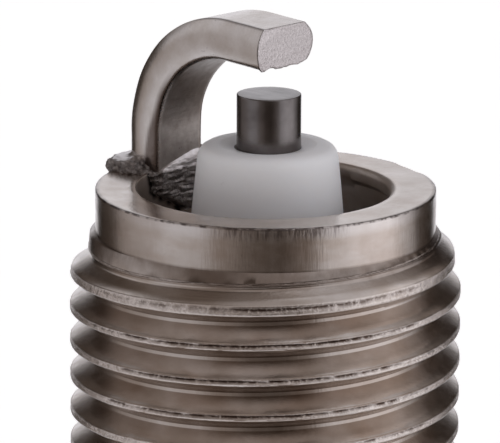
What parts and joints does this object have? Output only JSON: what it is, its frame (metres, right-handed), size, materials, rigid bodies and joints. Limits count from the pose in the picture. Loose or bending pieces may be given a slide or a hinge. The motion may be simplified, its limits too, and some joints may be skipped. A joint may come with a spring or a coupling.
{
  "type": "spark plug",
  "caption": "Spark plug with a threaded steel shell, ribbed white insulator, hooked ground electrode, captive gasket and screw-on terminal nut.",
  "frame": {"origin": "centre of the gasket's sealing face, where the plug meets the cylinder head", "axes": "+Z along the plug's axis towards the firing end, +X from the ground electrode's foot towards its tip"},
  "size_m": [0.0208, 0.0234, 0.0755],
  "materials": {
    "plated_shell": "satin nickel plate over rolled and turned steel",
    "alumina": "matte white at the nose, glazed at the terminal end",
    "nickel_electrode": "dark satin nickel alloy, cut flat",
    "copper": "drawn copper",
    "nickel_strap": "satin rolled nickel alloy wire, sheared end",
    "weld_flash": "dark crinkled upset metal",
    "gasket_steel": "plated folded strip",
    "plated_terminal": "bright turned nickel plate",
    "stud_steel": "plated steel",
    "seal_glass": "fused conductive glass",
    "resistor_body": "fused carbon and glass",
    "packing_steel": "plain steel",
    "talc": "pressed powder"
  },
  "bodies": {
    "plug_body": {"shell": "plated_shell", "insulator": "alumina", "center_electrode": "nickel_electrode", "center_electrode_core": "copper", "ground_electrode": "nickel_strap", "ground_electrode_weld": "weld_flash", "terminal_stud": "stud_steel", "lower_glass_seal": "seal_glass", "resistor": "resistor_body", "upper_glass_seal": "seal_glass", "inner_gasket": "packing_steel", "lower_sealing_ring": "packing_steel", "talc_packing": "talc", "upper_sealing_ring": "packing_steel"},
    "gasket": {"gasket": "gasket_steel"},
    "terminal_nut": {"terminal_nut": "plated_terminal"}
  },
  "joints": [
    {"name": "gasket_play", "type": "slide", "parent": "plug_body", "child": "gasket", "axis": [0, 0, 1], "range_m": [0, 0.001]},
    {"name": "terminal_nut_off", "type": "slide", "parent": "plug_body", "child": "terminal_nut", "axis": [0, 0, -1], "range_m": [0, 0.009]}
  ]
}
